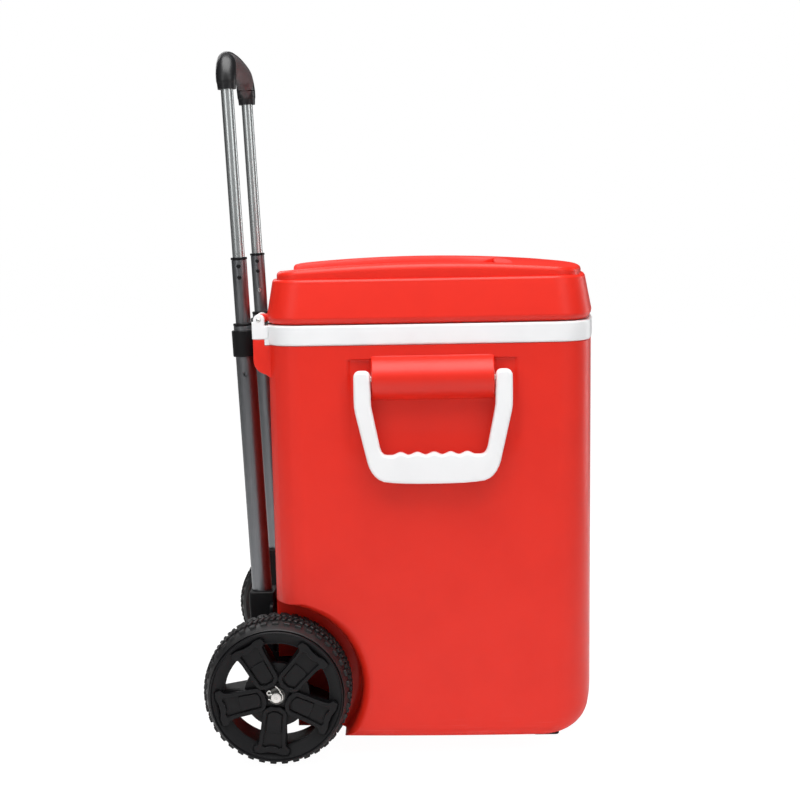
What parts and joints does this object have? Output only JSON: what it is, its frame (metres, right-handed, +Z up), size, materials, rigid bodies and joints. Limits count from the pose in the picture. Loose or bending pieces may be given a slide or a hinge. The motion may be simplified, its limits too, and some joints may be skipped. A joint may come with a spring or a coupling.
{
  "type": "cooler on wheels",
  "caption": "Tall hard-sided cooler with a hinged lid, swing side handles, a telescopic pull handle and rear wheels.",
  "frame": {"origin": "on the floor under the middle of the whole object's box", "axes": "+Z up, -Y out of the front face, wheels and pull handle at +Y, +X to the right-hand wheel"},
  "size_m": [0.505, 0.5006, 0.8786],
  "materials": {
    "red_plastic": "satin",
    "white_plastic": "satin",
    "insulation_foam": "matte",
    "gunmetal_tube": "satin",
    "bright_tube": "satin",
    "black_plastic": "satin",
    "black_tread": "matte",
    "nylon": "satin",
    "foot_rubber": "matte",
    "zinc_steel": "satin"
  },
  "bodies": {
    "root": {"body_shell": "red_plastic", "body_foam": "insulation_foam", "inner_liner": "white_plastic", "upper_bracket": "black_plastic", "axle": "zinc_steel", "hinge_pin_left": "zinc_steel", "hinge_pin_right": "zinc_steel", "swing_rod_left": "zinc_steel", "swing_rod_right": "zinc_steel", "outer_tube_left": "gunmetal_tube", "outer_tube_right": "gunmetal_tube", "outer_collar_left": "black_plastic", "outer_collar_right": "black_plastic", "bracket_screw_left": "zinc_steel", "bracket_screw_right": "zinc_steel", "axle_bracket_left": "black_plastic", "axle_bracket_right": "black_plastic", "washer_left": "zinc_steel", "washer_right": "zinc_steel", "r_clip_left": "zinc_steel", "r_clip_right": "zinc_steel", "front_foot_left": "foot_rubber", "front_foot_right": "foot_rubber", "foot_screw_left": "zinc_steel", "foot_screw_right": "zinc_steel", "axle_bracket_screw_left_1": "zinc_steel", "axle_bracket_screw_left_2": "zinc_steel", "axle_bracket_screw_right_1": "zinc_steel", "axle_bracket_screw_right_2": "zinc_steel"},
    "lid": {"lid_shell": "red_plastic", "lid_foam": "insulation_foam", "lid_liner": "white_plastic"},
    "handle_middle": {"middle_tube_left": "gunmetal_tube", "middle_tube_right": "gunmetal_tube", "middle_collar_left": "black_plastic", "middle_collar_right": "black_plastic", "middle_glide_left": "nylon", "middle_glide_right": "nylon", "rivet_left_1": "black_plastic", "rivet_left_2": "black_plastic", "rivet_right_1": "black_plastic", "rivet_right_2": "black_plastic"},
    "handle_top": {"inner_tube_left": "bright_tube", "inner_tube_right": "bright_tube", "inner_glide_left": "nylon", "inner_glide_right": "nylon", "handle_grip": "black_plastic"},
    "grip_button": {"release_button": "black_plastic"},
    "side_handle_left": {"swing_handle_left": "white_plastic"},
    "road_wheel_left": {"wheel_left": "black_plastic", "tyre_left": "black_tread", "wheel_bush_left": "nylon"},
    "side_handle_right": {"swing_handle_right": "white_plastic"},
    "road_wheel_right": {"wheel_right": "black_plastic", "tyre_right": "black_tread", "wheel_bush_right": "nylon"}
  },
  "joints": [
    {"name": "lid_hinge", "type": "hinge", "parent": "root", "child": "lid", "pos_m": [0, 0.172, 0.546], "axis": [-1, 0, 0], "range_deg": [0, 65]},
    {"name": "swing_left", "type": "hinge", "parent": "root", "child": "side_handle_left", "pos_m": [-0.231, -0.038, 0.476], "axis": [0, 1, 0], "range_deg": [0, 100]},
    {"name": "swing_right", "type": "hinge", "parent": "root", "child": "side_handle_right", "pos_m": [0.231, -0.038, 0.476], "axis": [0, -1, 0], "range_deg": [0, 100]},
    {"name": "wheel_spin_left", "type": "hinge", "parent": "root", "child": "road_wheel_left", "pos_m": [0, 0.158, 0.0923], "axis": [1, 0, 0], "continuous": true},
    {"name": "wheel_spin_right", "type": "hinge", "parent": "root", "child": "road_wheel_right", "pos_m": [0, 0.158, 0.0923], "axis": [1, 0, 0], "continuous": true},
    {"name": "handle_lower_slide", "type": "slide", "parent": "root", "child": "handle_middle", "axis": [0, 0.0401, 0.9992], "range_m": [-0.052, 0]},
    {"name": "handle_upper_slide", "type": "slide", "parent": "handle_middle", "child": "handle_top", "axis": [0, 0.0401, 0.9992], "range_m": [-0.2, 0]},
    {"name": "button_press", "type": "slide", "parent": "handle_top", "child": "grip_button", "axis": [0, -0.0401, -0.9992], "range_m": [0, 0.003], "stiffness_N_per_m": 400, "springref_m": -0.002}
  ]
}
